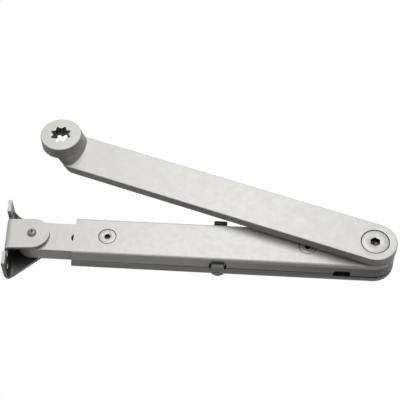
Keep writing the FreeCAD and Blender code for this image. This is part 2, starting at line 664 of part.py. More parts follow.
def selector_pin():
    front = -HOUSING_HALF - SELECTOR_FRONT
    rear = HOUSING_HALF + SELECTOR_REAR
    pin = selector_bar(0, 0, SELECTOR_CORNER, front, rear)
    ends = [edge for edge in pin.Edges if edge.BoundBox.YLength < 1e-4]
    pin = pin.makeChamfer(SELECTOR_CHAMFER, ends)
    clear = math.hypot(SELECTOR_HALF, SELECTOR_DROP) + OVER
    for start in ring_places():
        pin = pin.cut(cross_ring(clear, SELECTOR_HALF - RING_GROOVE, start, start + RING_THICK))
    return pin.cut(cross_ring(clear, WAIST_RADIUS, WAIST_START, WAIST_START + WAIST_WIDTH))


def cross_ring(outer, inner, start, end):
    return cross_cylinder(outer, start, end, SELECTOR_X, AXIS_HEIGHT).cut(
        cross_cylinder(inner, start, end, SELECTOR_X, AXIS_HEIGHT))


def selector_rings():
    inner = SELECTOR_HALF - RING_GROOVE + SEATED
    rings = [cross_ring(RING_RADIUS, inner, start + SEATED, start + RING_THICK - SEATED)
             for start in ring_places()]
    return Part.makeCompound(rings)


# Main arm, drawn with the elbow at x = 0 and the hub at x = MAIN_LENGTH

def neck_outline(spread, z, share):
    """A closed outline about the hub's axis: the bar's full width towards the elbow, with eased corners.

    With share it goes over to a round that lies just inside the hub.
    """
    side = BAR_HALF - BAR_ROUND / 2
    rise = NECK_BULGE - NECK_SIDE
    front_radius = (side ** 2 + rise ** 2) / (2 * rise)
    centre = front_radius - NECK_BULGE - spread
    within = HUB_RADIUS - NECK_INSET
    points = []
    for step in range(NECK_STEPS):
        angle = 2 * math.pi * step / NECK_STEPS
        along_bar = math.cos(angle)
        across = abs(math.sin(angle))
        if along_bar < 0:
            front = centre * along_bar + math.sqrt(front_radius ** 2 - (centre * across) ** 2)
            radius = (front ** -NECK_CORNER + (across / side) ** NECK_CORNER) ** (-1 / NECK_CORNER)
        else:
            radius = within + (side - within) * across ** 4
        radius += (within - radius) * share
        points.append(V(MAIN_LENGTH + radius * along_bar, radius * math.sin(angle), z))
    curve = Part.BSplineCurve()
    curve.interpolate(points, True)
    return Part.Wire(curve.toShape())


def neck():
    """From a flared foot of the bar's full width up to the round hub."""
    high = (HUB_LOW + HUB_HIGH) / 2
    outlines = [neck_outline(NECK_FLARE, BAR_HIGH - OVER, 0)]
    for quarter in (0.3, 0.65, 1.0):
        turn = quarter * math.pi / 2
        spread = NECK_FLARE * (1 - math.sin(turn))
        outlines.append(neck_outline(spread, BAR_HIGH + NECK_RISE * (1 - math.cos(turn)), 0))
    low = BAR_HIGH + NECK_RISE
    outlines.append(neck_outline(0, (low + high) / 2, 0.5))
    outlines.append(neck_outline(0, high, 1))
    return Part.makeLoft(outlines, True, False)


def under_neck():
    """All that lies below the neck's slope and the hub."""
    foot = MAIN_LENGTH - NECK_UNDER_FOOT
    head = MAIN_LENGTH - NECK_UNDER_HEAD
    far = MAIN_LENGTH + 2 * HUB_RADIUS
    slope = math.atan2(HUB_LOW - BAR_LOW, head - foot)
    run = NECK_UNDER_BEND * math.tan(slope / 2)
    start = (foot - run, -BAR_WIDTH, BAR_LOW)
    end = (foot + run * math.cos(slope), -BAR_WIDTH, BAR_LOW + run * math.sin(slope))
    middle = (foot - run + NECK_UNDER_BEND * math.sin(slope / 2), -BAR_WIDTH,
              BAR_LOW + NECK_UNDER_BEND * (1 - math.cos(slope / 2)))
    low = BAR_LOW - OVER
    edges = [bow(start, middle, end),
             segment(end, (head, -BAR_WIDTH, HUB_LOW)),
             segment((head, -BAR_WIDTH, HUB_LOW), (far, -BAR_WIDTH, HUB_LOW)),
             segment((far, -BAR_WIDTH, HUB_LOW), (far, -BAR_WIDTH, low)),
             segment((far, -BAR_WIDTH, low), (start[0], -BAR_WIDTH, low)),
             segment((start[0], -BAR_WIDTH, low), start)]
    return Part.Face(Part.Wire(edges)).extrude(V(0, 2 * BAR_WIDTH, 0))


def star(grow, low, high):
    """The splined socket: a round of even points, from a smooth wave."""
    mean = (STAR_TIP + STAR_VALLEY) / 2 + grow
    wave = (STAR_TIP - STAR_VALLEY) / 2
    steps = 8 * STAR_POINTS
    points = []
    for step in range(steps):
        angle = 2 * math.pi * step / steps
        radius = mean + wave * math.cos(STAR_POINTS * angle)
        points.append(V(MAIN_LENGTH + radius * math.cos(angle), radius * math.sin(angle), low))
    curve = Part.BSplineCurve()
    curve.interpolate(points, True)
    return Part.Face(Part.Wire(curve.toShape())).extrude(V(0, 0, high - low))


def main_arm():
    """One forging: bar, elbow eye with a square socket below, neck and raised hub."""
    bar = tongue(MAIN_LENGTH - NECK_UNDER_HEAD, 0, BAR_HALF, BAR_LOW, BAR_HIGH)
    bar = rounded(bar, BAR_ROUND, (BAR_LOW, BAR_HIGH), MAIN_LENGTH - NECK_UNDER_HEAD)
    hub = cylinder(HUB_RADIUS, HUB_LOW, HUB_HIGH, MAIN_LENGTH)
    arm = bar.fuse(neck()).fuse(hub.makeFillet(HUB_ROUND, flat_edges(hub, HUB_HIGH)))
    arm = arm.cut(under_neck()).removeSplitter()
    arm = arm.fuse(cylinder(ELBOW_BOSS_RADIUS, BOSS_LOW, BAR_LOW + OVER))
    arm = arm.cut(star(0, HUB_LOW - OVER, HUB_HIGH + OVER))
    arm = arm.cut(cylinder(STAR_TIP + SPINDLE_WAY, BAR_LOW - OVER, HUB_LOW, MAIN_LENGTH))
    half = TANG_ACROSS / 2 + SEATED
    arm = arm.cut(box(-half, half, -half, half, BOSS_LOW - OVER, BOSS_LOW + TANG_HEIGHT + END_PLAY))
    seat = sunk_seat(ELBOW_SCREW_HEAD, ELBOW_SCREW_RADIUS, ELBOW_SCREW_LAND, BAR_HIGH, BOSS_LOW)
    return arm.cut(seat)


def elbow_screw():
    return sunk_screw(ELBOW_SCREW_HEAD, ELBOW_SCREW_RADIUS, ELBOW_SCREW_LAND, ELBOW_SCREW_SOCKET,
                      ELBOW_SCREW_TURN, BAR_HIGH, BAR_HIGH - ELBOW_SCREW_LENGTH)


def cam_radius(opening):
    """The cam's radius that faces the follower once the arms have opened by an angle in degrees."""
    growth = CAM_GROWTH * math.radians(1)
    start = -CAM_CLOSING - CAM_MARGIN
    end = CAM_OPENING + CAM_MARGIN
    if opening <= end:
        return CAM_REST + growth * opening
    share = (opening - end) / (FULL_TURN - end + start)
    return CAM_REST + growth * (end + (start - end) * (1 - math.cos(math.pi * share)) / 2)


def cam():
    """An even spiral over the arms' travel, with a smooth return."""
    toward_follower = ARMS_ANGLE
    steps = 60
    start = -CAM_CLOSING - CAM_MARGIN
    points = []
    for step in range(steps):
        opening = start + FULL_TURN * step / steps
        angle = math.radians(toward_follower + opening)
        radius = cam_radius(opening)
        points.append(V(radius * math.cos(angle), radius * math.sin(angle), 0))
    curve = Part.BSplineCurve()
    curve.interpolate(points, True)
    face = Part.Face(Part.Wire(curve.toShape()))
    face.translate(V(0, 0, CAM_LOW))
    return face.extrude(V(0, 0, ROD_HIGH - CAM_LOW))


def elbow_spindle():
    """The shaft of the elbow: foot journal, cam, upper journal and a square end in the main arm."""
    shaft = cylinder(FOOT_JOURNAL, HOUSING_ROUND / 4, ROD_LOW).fuse(
        cylinder(FOOT_JOURNAL, ROD_LOW, ROD_HIGH)).fuse(cam())
    shaft = shaft.fuse(cylinder(JOURNAL_RADIUS, ROD_HIGH, BOSS_LOW))
    half = TANG_ACROSS / 2
    tang = box(-half, half, -half, half, BOSS_LOW - OVER, BOSS_LOW + TANG_HEIGHT)
    tang = tang.common(cylinder(JOURNAL_RADIUS, BOSS_LOW - OVER, BOSS_LOW + TANG_HEIGHT))
    shaft = shaft.fuse(tang).removeSplitter()
    bore_low = BAR_HIGH - ELBOW_SCREW_LENGTH - OVER
    return shaft.cut(cylinder(ELBOW_SCREW_RADIUS + SEATED, bore_low, BOSS_LOW + TANG_HEIGHT + OVER))


def set_forearm(shape):
    shape.rotate(V(0, 0, 0), UP, SHOE_SWIVEL)
    shape.translate(V(PIN_STANDOFF, 0, -MOUNT_HEIGHT))
    return shape


def set_main_arm(shape):
    shape.rotate(V(0, 0, 0), UP, 180 - ARMS_ANGLE)
    shape.translate(V(REACH, 0, 0))
    return set_forearm(shape)


def set_shoe(shape):
    shape.translate(V(0, 0, -MOUNT_HEIGHT))
    return shape


def build():
    shoe = {
        "shoe_bracket": shoe_bracket(),
        "shoe_pivot_pin": shoe_pivot_pin(),
        "shoe_pivot_screw": shoe_pivot_screw(),
        "shoe_lower_washer": pivot_washer(LOWER_EAR_HIGH, LOWER_WASHER),
        "shoe_upper_washer": pivot_washer(UPPER_EAR_LOW - UPPER_WASHER, UPPER_WASHER),
    }
    forearm = {
        "adjusting_rod": adjusting_rod(),
        "rod_bush": rod_bush(),
        "forearm_upper_shell": forearm_upper_shell(),
        "forearm_lower_shell": forearm_lower_shell(),
        "clamp_screw": housing_screw(CLAMP_SCREW_X),
        "guide_screw": housing_screw(GUIDE_X),
        "elbow_upper_bush": elbow_upper_bush(),
        "elbow_lower_bush": elbow_lower_bush(),
        "elbow_thrust_washer": elbow_thrust_washer(),
        "selector_guide": selector_guide(),
        "block_dowels": block_dowels(),
        "spring_washer": spring_washer(),
        "stop_spring": stop_spring(),
        "cam_follower": cam_follower(),
        "follower_stem": follower_stem(),
        "selector_pin": selector_pin(),
        "selector_rings": selector_rings(),
    }
    arm = {
        "main_arm": main_arm(),
        "elbow_screw": elbow_screw(),
        "elbow_spindle": elbow_spindle(),
    }
    placed = {name: set_shoe(shape) for name, shape in shoe.items()}
    placed.update({name: set_forearm(shape) for name, shape in forearm.items()})
    placed.update({name: set_main_arm(shape) for name, shape in arm.items()})
    return placed


os.makedirs("parts", exist_ok=True)
for node, solid in build().items():
    solid.exportStep("parts/" + node + ".step")
    print(node, len(solid.Solids), round(solid.Volume, 1), solid.isValid())
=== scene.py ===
"""Looks of the door closer arm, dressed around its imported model.

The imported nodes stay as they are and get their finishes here. The screws, the spring and the main arm's
forged neck are made anew, the windings by node trees that are turned to plain meshes. Lengths are in metres.
"""

import logging
import math
from dataclasses import dataclass
from enum import Enum
from typing import Callable, Sequence

import bmesh
import bpy
from mathutils import Matrix, Vector


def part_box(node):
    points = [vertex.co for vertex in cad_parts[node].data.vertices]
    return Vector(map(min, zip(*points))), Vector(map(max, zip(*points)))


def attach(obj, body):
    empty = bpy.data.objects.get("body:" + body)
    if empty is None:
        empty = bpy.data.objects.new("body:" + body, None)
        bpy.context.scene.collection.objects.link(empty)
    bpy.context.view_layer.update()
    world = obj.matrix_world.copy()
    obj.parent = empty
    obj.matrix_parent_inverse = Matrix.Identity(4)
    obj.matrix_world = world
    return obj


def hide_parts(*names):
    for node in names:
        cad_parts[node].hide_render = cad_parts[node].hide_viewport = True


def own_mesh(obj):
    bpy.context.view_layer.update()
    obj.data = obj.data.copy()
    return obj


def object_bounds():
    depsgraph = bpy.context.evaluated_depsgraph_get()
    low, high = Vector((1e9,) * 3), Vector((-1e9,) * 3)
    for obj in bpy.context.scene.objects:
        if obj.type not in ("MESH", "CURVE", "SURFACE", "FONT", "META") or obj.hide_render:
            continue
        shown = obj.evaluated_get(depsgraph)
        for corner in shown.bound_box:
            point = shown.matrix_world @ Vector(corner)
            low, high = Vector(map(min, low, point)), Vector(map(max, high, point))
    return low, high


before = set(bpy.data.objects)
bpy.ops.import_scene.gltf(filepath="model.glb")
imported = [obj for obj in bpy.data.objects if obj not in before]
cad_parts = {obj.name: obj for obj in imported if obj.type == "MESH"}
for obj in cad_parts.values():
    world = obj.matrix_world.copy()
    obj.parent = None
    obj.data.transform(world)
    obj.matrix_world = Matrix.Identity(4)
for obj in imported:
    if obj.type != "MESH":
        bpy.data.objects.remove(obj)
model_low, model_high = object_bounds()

log = logging.getLogger("door_closer_arm")

MM = 0.001
UP = Vector((0.0, 0.0, 1.0))
HUB_RADIUS = 18.6 * MM
SHARP_EDGE = math.radians(32)
NOISE_EDGE = 0.3
MARK_EDGE = 0.2
LEAST_TURN = 0.001

Colour = tuple[float, float, float]
Socket = bpy.types.NodeSocket


class Body(Enum):
    """The moving bodies that new pieces ride on."""

    FOREARM = "forearm"
    ARM = "arm"


class Grain(Enum):
    """How a metal surface was left by its making."""

    ROLLED = "rolled"
    GROUND = "ground"
    TURNED = "turned"


class Wound(Enum):
    """Inputs of the winding tree by the names that it shows, each with a field of Winding."""

    WIRE = "Wire radius"
    COIL = "Coil radius"
    LENGTH = "Length"
    TURNS = "Turns"
    CLOSED = "Closed turns"
    SIDES = "Sides"
    STEPS = "Steps per turn"
    RUN_OUT = "Run-out turns"


class Tree:
    """A node tree under construction, with short calls for the nodes that it uses."""

    def __init__(self, tree: bpy.types.NodeTree) -> None:
        """Wraps a tree.

        Args:
            tree: The material's or modifier's tree.
        """
        self.tree = tree

    def node(self, kind: str, **settings: object) -> bpy.types.Node:
        """Adds a node.

        Args:
            kind: Its type name.
            settings: Properties to set on it.

        Returns:
            The node.
        """
        node = self.tree.nodes.new(kind)
        for name, value in settings.items():
            setattr(node, name, value)
        return node

    def link(self, source: Socket, target: Socket) -> None:
        """Links an output to an input."""
        self.tree.links.new(source, target)

    def feed(self, target: Socket, value: object) -> None:
        """Links a socket to an input, or sets it to a plain value.

        Args:
            target: The input.
            value: An output socket, a number or a vector.
        """
        if isinstance(value, Socket):
            self.link(value, target)
        else:
            target.default_value = value

    def math(self, operation: str, first: object, second: object = 0.0) -> Socket:
        """Adds a Math node.

        Args:
            operation: What it works out.
            first: Its first value or socket.
            second: Its second value or socket.

        Returns:
            Its result.
        """
        node = self.node("ShaderNodeMath", operation=operation)
        self.feed(node.inputs[0], first)
        self.feed(node.inputs[1], second)
        return node.outputs[0]

    def plus(self, first: object, second: object) -> Socket:
        """Adds two values or sockets."""
        return self.math("ADD", first, second)

    def minus(self, first: object, second: object) -> Socket:
        """Takes the second value or socket from the first."""
        return self.math("SUBTRACT", first, second)

    def times(self, first: object, second: object) -> Socket:
        """Multiplies two values or sockets."""
        return self.math("MULTIPLY", first, second)

    def spread(self, value: Socket, low: float, high: float, to_low: float, to_high: float) -> Socket:
        """Maps one range of a value on another, clamped.

        Args:
            value: The value.
            low: Start of its range.
            high: End of its range.
            to_low: Result at the start.
            to_high: Result at the end.

        Returns:
            The mapped value.
        """
        node = self.node("ShaderNodeMapRange", clamp=True)
        self.link(value, node.inputs["Value"])
        for name, limit in (("From Min", low), ("From Max", high), ("To Min", to_low), ("To Max", to_high)):
            node.inputs[name].default_value = limit
        return node.outputs["Result"]

    def swing(self, value: Socket, centre: float, reach: float, edge: float = NOISE_EDGE) -> Socket:
        """Maps the middle band of a pattern on a centre, give or take a reach.

        Args:
            value: The pattern, from 0 to 1.
            centre: Result for its middle.
            reach: Most that the result departs from the centre.
            edge: Distance of the band's ends from 0 and from 1.

        Returns:
            The mapped value.
        """
        return self.spread(value, edge, 1 - edge, centre - reach, centre + reach)

    def noise(self, place: Socket, size: float, detail: float = 2.0) -> Socket:
        """Adds soft noise.

        Args:
            place: Coordinates in metres.
            size: Width of its patches in metres.
            detail: Finer layers on top.

        Returns:
            A value near 0.5.
        """
        node = self.node("ShaderNodeTexNoise")
        self.link(place, node.inputs["Vector"])
        node.inputs["Scale"].default_value = 1 / size
        node.inputs["Detail"].default_value = detail
        return node.outputs["Fac"]

    def blend(self, share: object, first: object, second: object) -> Socket:
        """Mixes two colours.

        Args:
            share: How much of the second.
            first: A colour or socket.
            second: A colour or socket.

        Returns:
            The mixed colour.
        """
        node = self.node("ShaderNodeMix", data_type="RGBA")
        self.feed(node.inputs["Factor"], share)
        for socket, colour in ((node.inputs[6], first), (node.inputs[7], second)):
            self.feed(socket, colour if isinstance(colour, Socket) else (*colour, 1.0))
        return node.outputs[2]

    def mapped(self, place: Socket, shift: Sequence[float] = (0.0, 0.0, 0.0), turn: float = 0.0,
               scale: Sequence[float] = (1.0, 1.0, 1.0)) -> Socket:
        """Shifts, then turns about the upright axis, then stretches coordinates.

        Args:
            place: Coordinates in metres.
            shift: Added first.
            turn: Turn in radians.
            scale: Factor along each axis, applied last.

        Returns:
            The new coordinates.
        """
        for name, value in (("Location", shift), ("Rotation", (0.0, 0.0, turn)), ("Scale", scale)):
            step = self.node("ShaderNodeMapping")
            self.link(place, step.inputs["Vector"])
            step.inputs[name].default_value = value
            place = step.outputs[0]
        return place

    def within(self, value: Socket, limit: float, soft: float) -> Socket:
        """Is 1 while a value stays under a limit, and eases to 0 at it."""
        return self.spread(value, limit - soft, limit, 1.0, 0.0)


@dataclass(frozen=True)
class PaintedShadeBore:
    """An upright round hole whose inside gets painted shade, darker than the finish round it."""

    x: float
    y: float
    radius: float
    top: float
    depth: float = 1.0 * MM
    # Colour of the painted shade inside the hole.
    colour: Colour = (0.012, 0.012, 0.013)

    def share(self, tree: Tree, place: Socket) -> Socket:
        """How far a point is inside the hole.

        Args:
            tree: The material's tree.
            place: Object coordinates.

        Returns:
            0 outside to 1 inside.
        """
        parts = tree.node("ShaderNodeSeparateXYZ")
        tree.link(place, parts.inputs[0])
        along = tree.minus(parts.outputs[0], self.x)
        across = tree.minus(parts.outputs[1], self.y)
        square = tree.plus(tree.times(along, along), tree.times(across, across))
        near = tree.math("LESS_THAN", square, self.radius ** 2)
        below = tree.spread(parts.outputs[2], self.top - self.depth, self.top, 1.0, 0.0)
        return tree.times(near, below)


@dataclass(frozen=True)
class PaintedShadeHollow:
    """Painted shade on the inside of a long housing, which lies along its own axis from a start point."""

    x: float
    y: float
    heading: float
    start: float
    half: float
    floor: float
    roof: float
    soft: float = 0.4 * MM
    # Colour of the painted shade inside the housing.
    colour: Colour = (0.025, 0.025, 0.026)

    def share(self, tree: Tree, place: Socket) -> Socket:
        """How far a point is inside the housing.

        Args:
            tree: The material's tree.
            place: Object coordinates.

        Returns:
            0 outside to 1 inside.
        """
        local = tree.mapped(place, (-self.x, -self.y, 0.0), -self.heading)
        parts = tree.node("ShaderNodeSeparateXYZ")
        tree.link(local, parts.inputs[0])
        across = tree.within(tree.math("ABSOLUTE", parts.outputs[1]), self.half, self.soft)
        along = tree.spread(parts.outputs[0], self.start, self.start + self.soft, 0.0, 1.0)
        middle_height = (self.floor + self.roof) / 2
        rise = tree.math("ABSOLUTE", tree.minus(parts.outputs[2], middle_height))
        level = tree.within(rise, (self.roof - self.floor) / 2, self.soft / 4)
        return tree.times(tree.times(across, along), level)


@dataclass(frozen=True)
class Finish:
    """What every finish has: a name, a colour and how it shines."""

    name: str
    colour: Colour
    roughness: float
    metallic: float = 0.0

    def start(self) -> tuple[bpy.types.Material, Tree, bpy.types.Node, Socket]:
        """Opens a material with its shader and coordinates.

        Returns:
            The material, its tree, the shader and the object coordinates.
        """
        material = bpy.data.materials.new(self.name)
        material.use_nodes = True
        tree = Tree(material.node_tree)
        shader = material.node_tree.nodes["Principled BSDF"]
        shader.inputs["Metallic"].default_value = self.metallic
        place = tree.node("ShaderNodeTexCoord").outputs["Object"]
        return material, tree, shader, place

    def toned(self, tree: Tree, tone: Socket) -> Socket:
        """The finish's colour times a tone.

        Args:
            tree: The material's tree.
            tone: The tone, near 1.

        Returns:
            The toned colour.
        """
        scale = tree.node("ShaderNodeVectorMath", operation="SCALE")
        scale.inputs[0].default_value = self.colour
        tree.link(tone, scale.inputs["Scale"])
        return scale.outputs[0]

    def paint_shade_into(self, tree: Tree, place: Socket, colour: Socket, spaces: Sequence[PaintedShadeBore | PaintedShadeHollow]) -> Socket:
        """Paints shade into the insides of holes and housings.

        Args:
            tree: The material's tree.
            place: Object coordinates.
            colour: The colour outside them.
            spaces: The holes and housings.

        Returns:
            The colour with the painted shade in it.
        """
        for space in spaces:
            colour = tree.blend(space.share(tree, place), colour, space.colour)
        return colour

    def bump(self, tree: Tree, shader: bpy.types.Node, height: Socket, strength: float,
             distance: float) -> None:
        """Gives the shader a fine relief.

        Args:
            tree: The material's tree.
            shader: The shader.
            height: The relief's pattern.
            strength: Its strength.
            distance: Its depth in metres.
        """
        bump = tree.node("ShaderNodeBump")
        bump.inputs["Strength"].default_value = strength
        bump.inputs["Distance"].default_value = distance
        tree.link(height, bump.inputs["Height"])
        tree.link(bump.outputs[0], shader.inputs["Normal"])


@dataclass(frozen=True)
class SatinPaint(Finish):
    """Silver paint with fine flake, slightly uneven; upright sides get painted shade that makes them darker
    than the tops.
    """

    flake: float = 1.1 * MM
    flake_contrast: float = 0.045
    cloud: float = 16 * MM
    cloud_detail: float = 3.0
    cloud_contrast: float = 0.02
    rough_patch: float = 16 * MM / 3
    rough_swing: float = 0.04
    peel: float = 1.1 * MM
    peel_depth: float = 0.03 * MM
    relief: float = 0.4
    painted_side_shade: float = 1.0
    side_until: float = 0.25
    top_from: float = 0.85

    def material(self, spaces: Sequence[PaintedShadeBore | PaintedShadeHollow] = ()) -> bpy.types.Material:
        """Builds the paint.

        Args:
            spaces: Holes and insides that get painted shade.

        Returns:
            The material.
        """
        material, tree, shader, place = self.start()
        flake = tree.swing(tree.noise(place, self.flake), 1.0, self.flake_contrast)
        cloud = tree.swing(tree.noise(place, self.cloud, self.cloud_detail), 1.0, self.cloud_contrast)
        tone = tree.times(flake, cloud)
        # Painted shade: faces that stand upright get a darker colour, for the weaker light that falls on them.
        if self.painted_side_shade != 1.0:
            parts = tree.node("ShaderNodeSeparateXYZ")
            tree.link(tree.node("ShaderNodeTexCoord").outputs["Normal"], parts.inputs[0])
            level = tree.spread(tree.math("ABSOLUTE", parts.outputs[2]), self.side_until, self.top_from,
                                self.painted_side_shade, 1.0)
            tone = tree.times(tone, level)
        tree.link(self.paint_shade_into(tree, place, self.toned(tree, tone), spaces), shader.inputs["Base Color"])
        rough = tree.swing(tree.noise(place, self.rough_patch), self.roughness, self.rough_swing)
        tree.link(rough, shader.inputs["Roughness"])
        self.bump(tree, shader, tree.noise(place, self.peel), self.relief, self.peel_depth)
        return material


@dataclass(frozen=True)
class BareMetal(Finish):
    """Bare or plated metal with the marks of its making."""

    grain: Grain = Grain.ROLLED
    mark: float = 0.35 * MM
    mark_depth: float = 0.012 * MM
    relief: float = 0.3
    contrast: float = 0.05
    rough_swing: float = 0.05
    cloud: float = 5 * MM
    cloud_detail: float = 3.0
    ground_stretch: float = 0.05
    ring_rate: float = 0.3
    ring_waver: float = 0.6

    def marks(self, tree: Tree, place: Socket, axis: Vector, heading: float) -> Socket:
        """The pattern of the marks.

        Args:
            tree: The material's tree.
            place: Object coordinates.
            axis: A point on the axis of turned marks.
            heading: Direction of ground marks, in radians.

        Returns:
            A value near 0.5.
        """
        if self.grain is Grain.ROLLED:
            return tree.noise(place, self.mark, self.cloud_detail)
        if self.grain is Grain.GROUND:
            along = tree.mapped(place, turn=-heading, scale=(self.ground_stretch, 1.0, 1.0))
            return tree.noise(along, self.mark)
        centred = tree.mapped(place, (-axis.x, -axis.y, 0.0))
        rings = tree.node("ShaderNodeTexWave", wave_type="RINGS", rings_direction="Z")
        tree.link(centred, rings.inputs["Vector"])
        rings.inputs["Scale"].default_value = self.ring_rate / self.mark
        rings.inputs["Distortion"].default_value = self.ring_waver
        rings.inputs["Detail"].default_value = 2.0
        return rings.outputs["Fac"]

    def material(self, spaces: Sequence[PaintedShadeBore | PaintedShadeHollow] = (), axis: Vector = Vector(),
                 heading: float = 0.0) -> bpy.types.Material:
        """Builds the metal.

        Args:
            spaces: Holes that get painted shade inside.
            axis: A point on the axis of turned marks.
            heading: Direction of ground marks, in radians.

        Returns:
            The material.
        """
        material, tree, shader, place = self.start()
        marks = self.marks(tree, place, axis, heading)
        cloud = tree.swing(tree.noise(place, self.cloud, self.cloud_detail), 0.0, self.contrast)
        fine = tree.swing(marks, 1.0, self.contrast, MARK_EDGE)
        colour = self.toned(tree, tree.plus(fine, cloud))
        tree.link(self.paint_shade_into(tree, place, colour, spaces), shader.inputs["Base Color"])
        tree.link(tree.swing(marks, self.roughness, self.rough_swing, MARK_EDGE), shader.inputs["Roughness"])
        self.bump(tree, shader, marks, self.relief, self.mark_depth)
        return material


SILVER: Colour = (0.60, 0.585, 0.565)
SILVER_PAINT = SatinPaint("silver_paint", SILVER, 0.42, 0.06)
# The arm, the lower shell and the shoe get painted shade on their upright sides.
ARM_PAINT = SatinPaint("silver_paint_arm", SILVER, 0.42, 0.06, painted_side_shade=0.46)
LOWER_PAINT = SatinPaint("silver_paint_lower", SILVER, 0.44, 0.05, painted_side_shade=0.58)
SHOE_PAINT = SatinPaint("silver_paint_shoe", SILVER, 0.42, 0.06, painted_side_shade=0.55)
PAN_HEAD_ZINC = BareMetal("pan_head_zinc", (0.24, 0.235, 0.225), 0.36, 0.35)
ZINC_PLATE = BareMetal("zinc_plate", (0.52, 0.51, 0.495), 0.44, 0.12, Grain.TURNED)
GROUND_STEEL = BareMetal("ground_steel", (0.40, 0.395, 0.385), 0.30, 0.9, Grain.GROUND)
KNOB_STEEL = BareMetal("knob_steel", (0.21, 0.206, 0.20), 0.48, 0.15)
HARD_STEEL = BareMetal("hard_steel", (0.06, 0.06, 0.062), 0.40, 0.6)
BRONZE = BareMetal("bearing_bronze", (0.50, 0.33, 0.15), 0.36, 1.0)
WASHER_STEEL = BareMetal("washer_steel", (0.36, 0.355, 0.34), 0.40, 0.8)
SPRING_STEEL = BareMetal("spring_steel", (0.13, 0.13, 0.14), 0.32, 0.9)


def hung(name: str, data: bpy.types.ID) -> bpy.types.Object:
    """Puts a mesh, a lamp or a camera in the scene.

    Args:
        name: Name of the object.
        data: What it carries.

    Returns:
        The object.
    """
    carrier = bpy.data.objects.new(name, data)
    bpy.context.scene.collection.objects.link(carrier)
    return carrier


def meshed(form: bmesh.types.BMesh, name: str) -> bpy.types.Mesh:
    """Turns a form under construction into a mesh, and frees the form."""
    mesh = bpy.data.meshes.new(name)
    form.to_mesh(mesh)
    form.free()
    return mesh


def cover(mesh: bpy.types.Mesh, material: bpy.types.Material) -> None:
    """Covers a whole mesh with one material.

    Args:
        mesh: The mesh.
        material: The finish.
    """
    mesh.materials.clear()
    mesh.materials.append(material)
    for face in mesh.polygons:
        face.material_index = 0


def dress(material: bpy.types.Material, *nodes: str) -> None:
    """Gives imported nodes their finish.

    Args:
        material: The finish.
        nodes: The nodes' names.
    """
    for node in nodes:
        cover(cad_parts[node].data, material)
        log.info("%s: %s", node, material.name)


def middle(node: str) -> Vector:
    """The middle of a node's box at rest."""
    low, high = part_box(node)
    return (low + high) / 2


def smooth(mesh: bpy.types.Mesh) -> None:
    """Shades a mesh smooth, apart from its sharp edges."""
    mesh.shade_smooth()
    mesh.set_sharp_from_angle(angle=SHARP_EDGE)


def settled(carrier: bpy.types.Object, name: str) -> bpy.types.Mesh:
    """Turns the shape that a carrier's modifier gives into a plain mesh, and removes both.

    Args:
        carrier: The object with the modifier.
        name: Name of the mesh.

    Returns:
        The mesh.
    """
    evaluated = carrier.evaluated_get(bpy.context.evaluated_depsgraph_get())
    mesh = bpy.data.meshes.new_from_object(evaluated)
    mesh.name = name
    carrier.modifiers.clear()
    bpy.data.objects.remove(carrier)
    return mesh


def baked(start: bpy.types.Mesh, name: str, kind: str, **settings: object) -> bpy.types.Mesh:
    """Runs one modifier on a mesh and keeps the result as a plain mesh.

    Args:
        start: The mesh, which is left as it is.
        name: Name of the result.
        kind: The modifier's type.
        settings: Its settings.

    Returns:
        The result.
    """
    carrier = hung(name + "_start", start)
    modifier = carrier.modifiers.new("step", kind)
    for setting, value in settings.items():
        setattr(modifier, setting, value)
    return settled(carrier, name)


def place_piece(name: str, mesh: bpy.types.Mesh, material: bpy.types.Material, body: Body,
                nodes: Sequence[str]) -> bpy.types.Object:
    """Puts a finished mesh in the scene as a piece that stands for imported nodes.

    Args:
        name: The piece's name.
        mesh: Its mesh, in the row frame.
        material: Its finish.
        body: What it rides on.
        nodes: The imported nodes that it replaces.

    Returns:
        The piece.
    """
    piece = hung(name, mesh)
    cover(mesh, material)
    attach(piece, body.value)
    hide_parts(*nodes)
    log.info("%s: %d faces, %s", name, len(mesh.polygons), material.name)
    return piece


@dataclass(frozen=True)
class Axes:
    """Places and directions of the joints in the row frame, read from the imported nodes."""

    pivot: Vector
    elbow: Vector
    hub: Vector

    @classmethod
    def read(cls) -> "Axes":
        """Works out the axes from the nodes' boxes; the hub touches the main arm's box at the back and left.

        Returns:
            The axes.
        """
        low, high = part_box("main_arm")
        hub = Vector((low.x + HUB_RADIUS, high.y - HUB_RADIUS, high.z))
        return cls(middle("shoe_pivot_pin"), middle("elbow_spindle"), hub)

    def along(self, start: Vector, end: Vector) -> Vector:
        """The level direction from one axis to another.

        Args:
            start: A point on the first axis.
            end: A point on the second.

        Returns:
            The direction, one metre long.
        """
        way = end - start
        way.z = 0.0
        return way.normalized()

    @property
    def forearm(self) -> Vector:
        """Direction from the shoe's pin to the elbow."""
        return self.along(self.pivot, self.elbow)

    @property
    def arm(self) -> Vector:
        """Direction from the hub to the elbow."""
        return self.along(self.hub, self.elbow)

    @staticmethod
    def heading(way: Vector) -> float:
        """The angle of a level direction, in radians."""
        return math.atan2(way.y, way.x)


